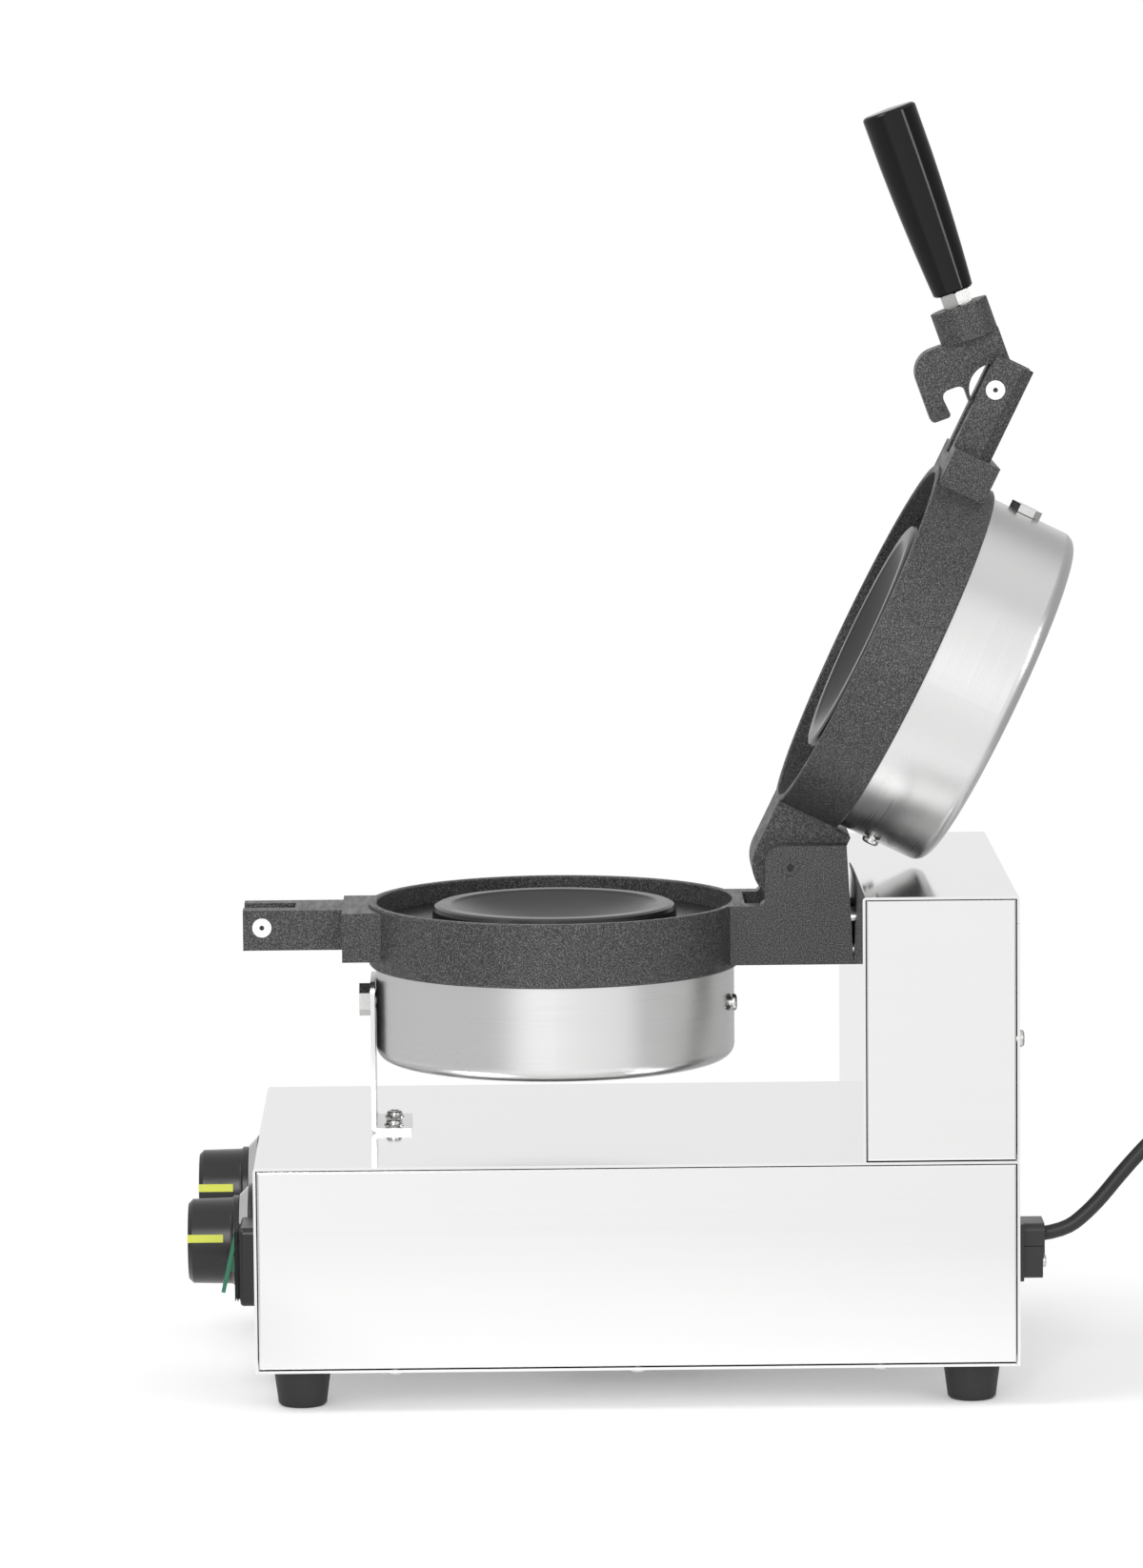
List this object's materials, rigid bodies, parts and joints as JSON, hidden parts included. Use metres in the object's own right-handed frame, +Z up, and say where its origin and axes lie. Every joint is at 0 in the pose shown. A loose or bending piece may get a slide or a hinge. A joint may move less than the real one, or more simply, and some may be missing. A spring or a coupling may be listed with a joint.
{
  "type": "ice cream panini press",
  "caption": "Countertop press with two hinged round heated moulds, a latching handle, dial controls and a rocker switch, for sealing ice cream in a bun",
  "frame": {"origin": "on the counter, under the middle of the box round the press with its lid open, leaving out the mains cord", "axes": "+Z up, -Y towards the front panel with the knobs, +X to the right of a person who faces that panel; the hinge axis lies along X"},
  "size_m": [0.226, 0.5999, 0.5749],
  "materials": {
    "stainless_sheet": "polished stainless sheet with a fine lengthwise grain",
    "cup_steel": "brushed stainless sheet",
    "black_casting": "cast aluminium under a black, finely textured non-stick coat",
    "zinc_steel": "bright zinc-plated steel",
    "black_grip": "glossy black bakelite",
    "black_rubber": "matte black rubber",
    "cord_jacket": "satin black rubber jacket",
    "heater_sheath": "dull steel sheath",
    "mineral_wool": "pressed mineral wool",
    "knob_black": "satin black thermoplastic",
    "pointer_lime": "yellow-green printed or let-in line",
    "bezel_silver": "satin silver ring",
    "rocker_green": "translucent dark green plastic",
    "control_body": "pale moulded control housing",
    "clamp_plastic": "black nylon"
  },
  "bodies": {
    "base": {"base_shell": "stainless_sheet", "base_side_panel_right": "stainless_sheet", "base_side_panel_left": "stainless_sheet", "base_bottom_plate": "stainless_sheet", "bottom_screws": "zinc_steel", "rubber_feet": "black_rubber", "foot_screws_and_nuts": "zinc_steel", "tower_shell": "stainless_sheet", "tower_side_panel_right": "stainless_sheet", "tower_side_panel_left": "stainless_sheet", "tower_rear_cover": "stainless_sheet", "tower_cover_screws": "zinc_steel", "tower_stiffener_plate": "zinc_steel", "casting_mount_bolts": "zinc_steel", "lower_casting": "black_casting", "hinge_pin": "zinc_steel", "latch_pin": "zinc_steel", "lower_cup": "cup_steel", "lower_heater": "heater_sheath", "lower_insulation": "mineral_wool", "lower_cup_screws": "zinc_steel", "lower_cup_bolt": "zinc_steel", "support_strap": "cup_steel", "strap_washers": "zinc_steel", "strap_screws": "zinc_steel", "timer_base_disc": "knob_black", "timer_bezel": "bezel_silver", "timer_unit": "control_body", "thermostat_base_disc": "knob_black", "thermostat_bezel": "bezel_silver", "thermostat_unit": "control_body", "switch_frame": "knob_black", "switch_body": "knob_black", "switch_boot": "black_rubber", "terminal_block": "control_body", "cord_clamp_plate": "clamp_plastic", "cord_clamp_base": "clamp_plastic", "cord_clamp_saddle": "clamp_plastic", "cord_clamp_screws": "zinc_steel", "cord_run": "cord_jacket", "cord_coil": "cord_jacket", "cord_tail": "cord_jacket", "plug": "cord_jacket"},
    "lid": {"upper_casting": "black_casting", "upper_cup": "cup_steel", "upper_heater": "heater_sheath", "upper_insulation": "mineral_wool", "upper_cup_screws": "zinc_steel", "upper_cup_bolt": "zinc_steel"},
    "handle_pivot": {"handle_pin": "zinc_steel"},
    "handle": {"hook_bracket": "black_casting", "handle_stud": "zinc_steel", "handle_nut": "zinc_steel", "handle_grip": "black_grip"},
    "timer_dial": {"timer_knob": "knob_black", "timer_pointer": "pointer_lime"},
    "thermostat_dial": {"thermostat_knob": "knob_black", "thermostat_pointer": "pointer_lime"},
    "rocker": {"switch_rocker": "rocker_green"}
  },
  "joints": [
    {"name": "lid_hinge", "type": "hinge", "parent": "base", "child": "lid", "pos_m": [0, 0.07213, 0.2311], "axis": [1, 0, 0], "range_deg": [0, 116]},
    {"name": "handle_follow", "type": "hinge", "parent": "lid", "child": "handle_pivot", "pos_m": [0, 0.16604, 0.44554], "axis": [1, 0, 0], "range_deg": [-89.6, 0]},
    {"name": "handle_swing", "type": "hinge", "parent": "handle_pivot", "child": "handle", "pos_m": [0, 0.16604, 0.44554], "axis": [1, 0, 0], "range_deg": [-30, 28]},
    {"name": "timer_turn", "type": "hinge", "parent": "base", "child": "timer_dial", "pos_m": [-0.084, -0.17007, 0.066], "axis": [0, 1, 0], "range_deg": [0, 300]},
    {"name": "thermostat_turn", "type": "hinge", "parent": "base", "child": "thermostat_dial", "pos_m": [0.047, -0.17007, 0.066], "axis": [0, 1, 0], "range_deg": [0, 270]},
    {"name": "rocker_tilt", "type": "hinge", "parent": "base", "child": "rocker", "pos_m": [0.09, -0.17807, 0.0643], "axis": [1, 0, 0], "range_deg": [0, 25.2]}
  ],
  "couplings": [
    {"joint": "handle_follow", "follows": "lid_hinge", "ratio": -0.77241}
  ]
}
